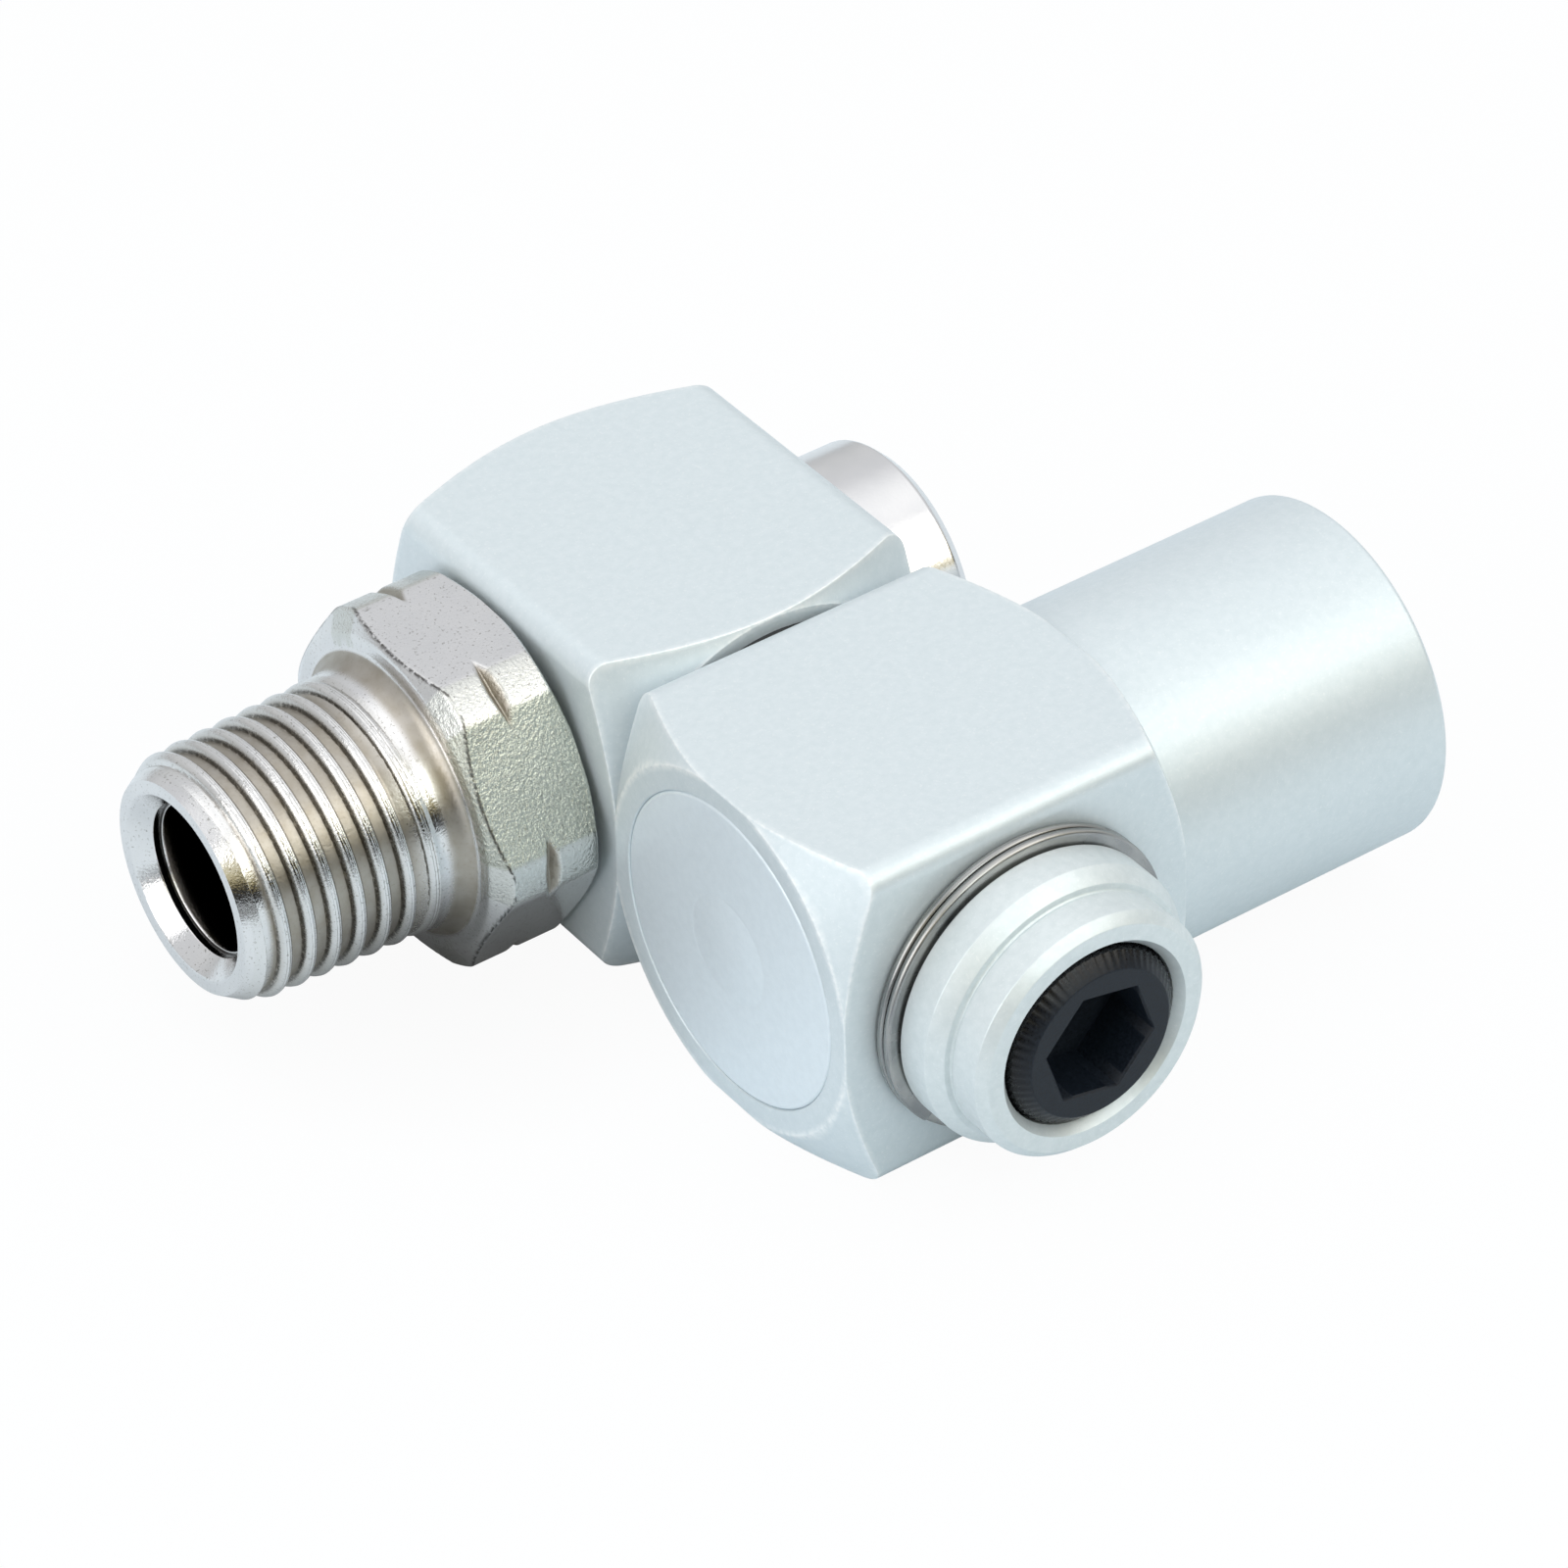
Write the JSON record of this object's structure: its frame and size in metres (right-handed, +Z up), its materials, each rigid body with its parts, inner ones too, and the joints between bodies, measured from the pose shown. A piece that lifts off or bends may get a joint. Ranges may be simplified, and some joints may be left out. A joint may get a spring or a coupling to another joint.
{
  "type": "swivel air connector",
  "caption": "Offset two-axis swivel air connector: male pipe nipple and female pipe port on square blocks that turn on a common stem, with a hex-socket flow screw.",
  "frame": {"origin": "on the axis of the female port, where its threaded wall begins behind the mouth chamfer", "axes": "+X out of the female port, Y along the swivel stem with the flow screw on the -Y side and the nipple's block on the +Y side, +Z up from the face that the part rests on"},
  "size_m": [0.0554, 0.0465, 0.019],
  "materials": {
    "block_alloy": "satin bead-blasted, anodised",
    "stem_alloy": "satin turned, anodised",
    "plug_alloy": "satin turned",
    "nipple_plate": "bright nickel plate",
    "ring_steel": "bright spring steel",
    "screw_black": "black oxide, satin",
    "seal_rubber": "matt",
    "slide_plastic": "smooth"
  },
  "bodies": {
    "inlet_body": {"inlet_block": "block_alloy", "swivel_stem": "stem_alloy", "retaining_ring": "ring_steel", "thrust_washer": "slide_plastic", "stem_oring_front": "seal_rubber", "stem_oring_rear": "seal_rubber", "stem_port_seal": "seal_rubber"},
    "outlet_body": {"outlet_block": "block_alloy", "end_plug": "plug_alloy"},
    "inlet_spindle": {"inlet_nipple": "nipple_plate", "nipple_cap": "nipple_plate", "nipple_oring_front": "seal_rubber", "nipple_oring_rear": "seal_rubber", "nipple_washer_front": "slide_plastic", "nipple_washer_rear": "slide_plastic"},
    "flow_seal": {"screw_oring": "seal_rubber"},
    "flow_screw": {"flow_screw": "screw_black"}
  },
  "joints": [
    {"name": "body_swivel", "type": "hinge", "parent": "inlet_body", "child": "outlet_body", "pos_m": [-0.0263, 0, 0], "axis": [0, 1, 0], "continuous": true},
    {"name": "inlet_swivel", "type": "hinge", "parent": "inlet_body", "child": "inlet_spindle", "pos_m": [-0.0263, 0.0201, 0], "axis": [1, 0, 0], "continuous": true},
    {"name": "flow_travel", "type": "slide", "parent": "inlet_body", "child": "flow_seal", "axis": [0, 1, 0], "range_m": [0, 0.002]},
    {"name": "flow_turn", "type": "hinge", "parent": "flow_seal", "child": "flow_screw", "pos_m": [-0.0263, -0.016, 0], "axis": [0, 1, 0], "range_deg": [0, 720]}
  ],
  "couplings": [
    {"joint": "flow_turn", "follows": "flow_travel", "rad_per_m": 6283.2}
  ]
}
